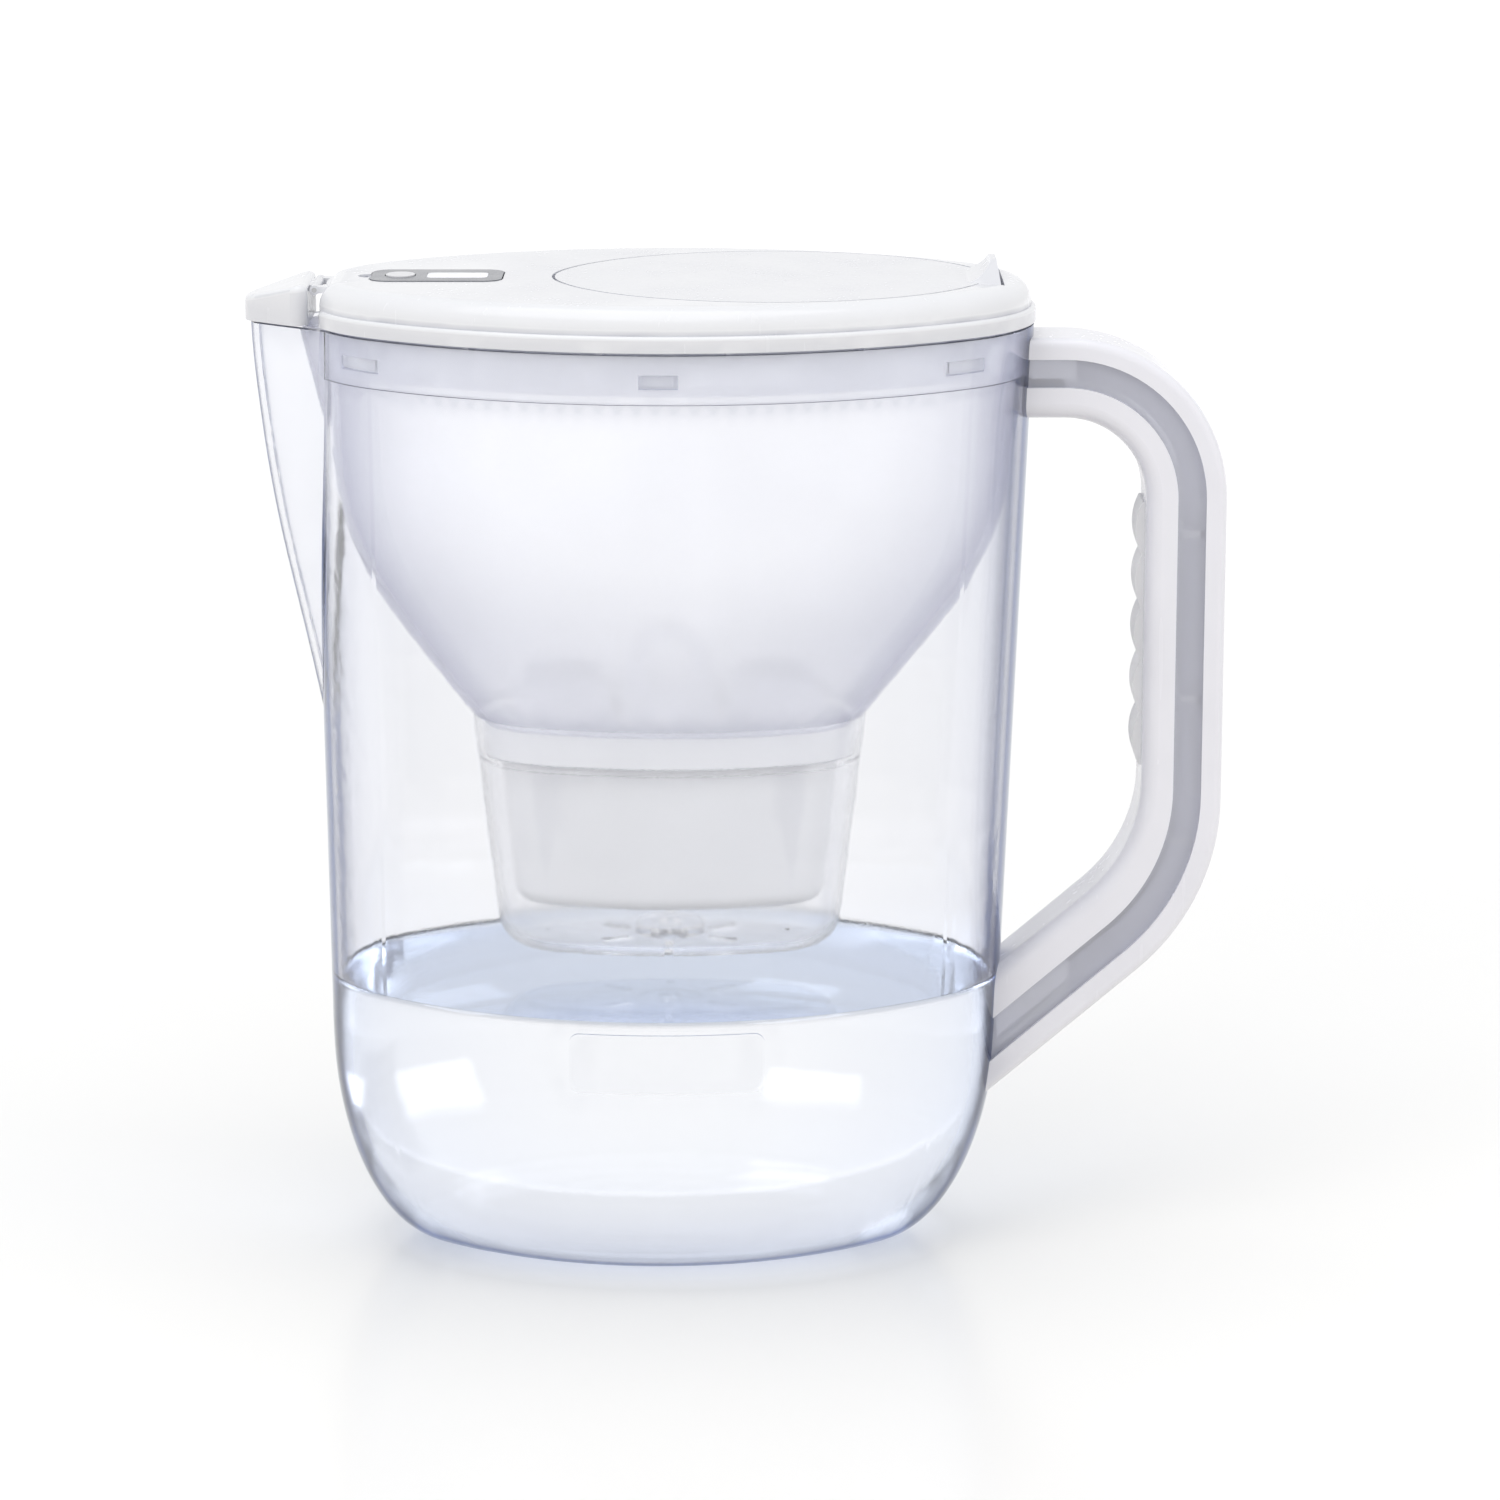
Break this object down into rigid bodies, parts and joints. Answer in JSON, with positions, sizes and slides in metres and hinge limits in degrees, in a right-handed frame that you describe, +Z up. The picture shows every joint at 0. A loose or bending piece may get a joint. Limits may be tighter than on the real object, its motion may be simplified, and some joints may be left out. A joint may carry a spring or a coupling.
{
  "type": "water filter pitcher",
  "caption": "Clear oval pitcher with a beak and a layered handle, a lift-out funnel that holds a filter cartridge, and a white lid with a fill flap, a beak cover and a change indicator.",
  "frame": {"origin": "middle of the foot's flat underside", "axes": "+Z up, -X towards the spout, +X towards the handle, Y across the jug"},
  "size_m": [0.2839, 0.1428, 0.2936],
  "materials": {
    "clear_plastic": "clear, polished",
    "tinted_plastic": "tinted translucent, polished",
    "white_plastic": "glossy moulded",
    "soft_plastic": "fine matte grain",
    "milky_plastic": "milky translucent",
    "chamber_plastic": "frosted clear",
    "cartridge_plastic": "satin moulded",
    "screen_mesh": "fine woven mesh",
    "bed_grains": "dark grains with pale beads",
    "lid_plastic": "glossy moulded",
    "pin_steel": "drawn wire",
    "case_plastic": "satin moulded",
    "gasket_rubber": "matte",
    "bezel_plastic": "satin",
    "window_plastic": "clear, polished",
    "lcd_panel": "pale display glass",
    "board_laminate": "solder mask",
    "cell_steel": "pressed, bright",
    "clip_brass": "rolled strip",
    "button_plastic": "satin"
  },
  "bodies": {
    "jug": {"jug_body": "clear_plastic", "handle_core": "tinted_plastic", "handle_grip": "white_plastic", "handle_strap": "white_plastic", "finger_insert": "soft_plastic"},
    "funnel": {"funnel": "milky_plastic", "cartridge_chamber": "chamber_plastic"},
    "cartridge": {"cartridge_cup": "cartridge_plastic", "cartridge_cap": "cartridge_plastic", "inlet_screen": "screen_mesh", "outlet_screen": "screen_mesh", "filter_bed": "bed_grains"},
    "lid": {"lid_shell": "lid_plastic", "flap_pin": "pin_steel", "cover_pin": "pin_steel", "meter_case": "case_plastic", "meter_gasket": "gasket_rubber", "meter_bezel": "bezel_plastic", "meter_window": "window_plastic", "lcd_panel": "lcd_panel", "meter_board": "board_laminate", "coin_cell": "cell_steel", "cell_clip": "clip_brass", "button_dome": "cell_steel"},
    "flap": {"fill_flap": "lid_plastic"},
    "cover": {"beak_cover": "lid_plastic"},
    "button": {"reset_button": "button_plastic"}
  },
  "joints": [
    {"name": "funnel_lift", "type": "slide", "parent": "jug", "child": "funnel", "axis": [0, 0, 1], "range_m": [0, 0.19]},
    {"name": "lid_lift", "type": "slide", "parent": "funnel", "child": "lid", "axis": [0, 0, 1], "range_m": [0, 0.08]},
    {"name": "cartridge_lift", "type": "slide", "parent": "funnel", "child": "cartridge", "axis": [0, 0, 1], "range_m": [0, 0.06]},
    {"name": "flap_hinge", "type": "hinge", "parent": "lid", "child": "flap", "pos_m": [-0.0425, 0, 0.282], "axis": [0, -1, 0], "range_deg": [0, 95]},
    {"name": "cover_hinge", "type": "hinge", "parent": "lid", "child": "cover", "pos_m": [-0.1011, 0, 0.2854], "axis": [0, 1, 0], "range_deg": [0, 70]},
    {"name": "button_press", "type": "slide", "parent": "lid", "child": "button", "axis": [0, 0, -1], "range_m": [0, 0.0005], "stiffness_N_per_m": 1000, "springref_m": -0.0005}
  ]
}
